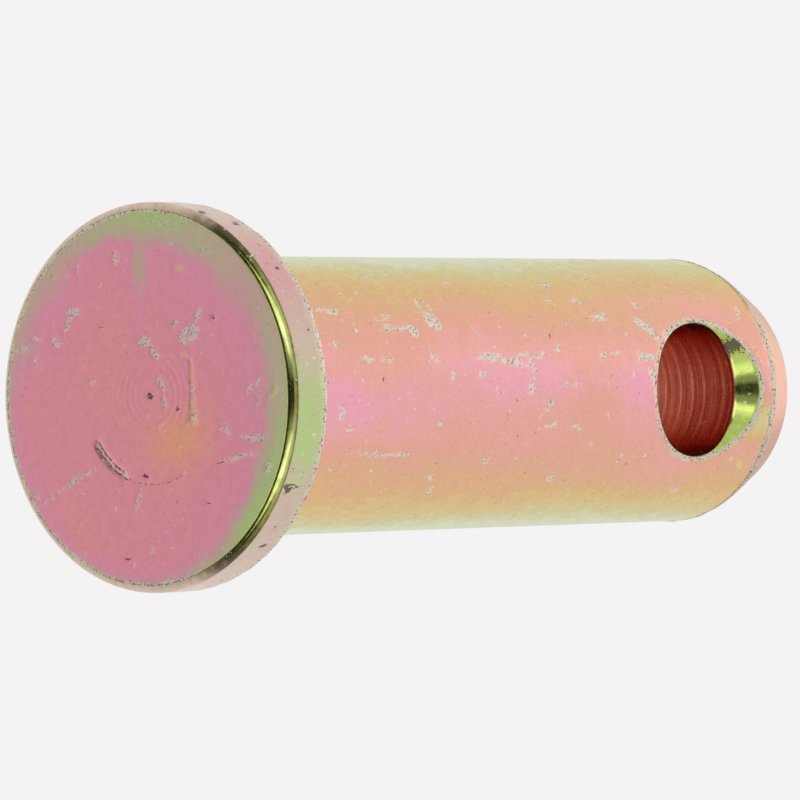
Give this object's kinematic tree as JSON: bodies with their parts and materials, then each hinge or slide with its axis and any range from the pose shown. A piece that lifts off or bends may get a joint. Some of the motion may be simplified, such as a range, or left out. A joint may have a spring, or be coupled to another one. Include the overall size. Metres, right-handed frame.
{
  "type": "clevis pin",
  "caption": "Headed clevis pin with a plain round shank, a countersunk cross hole near the tip and a coned end; joins a fork to an eye and takes a clip through the hole.",
  "frame": {"origin": "centre of the head's outer face, on which the pin stands", "axes": "+Z along the shank from the head to the coned end, Y along the cross hole"},
  "size_m": [0.022, 0.022, 0.0515],
  "materials": {
    "plated_steel": "turned steel, zinc plated with an iridescent yellow passivate, pink to green, lightly scuffed"
  },
  "bodies": {
    "root": {"clevis_pin": "plated_steel"}
  },
  "joints": []
}
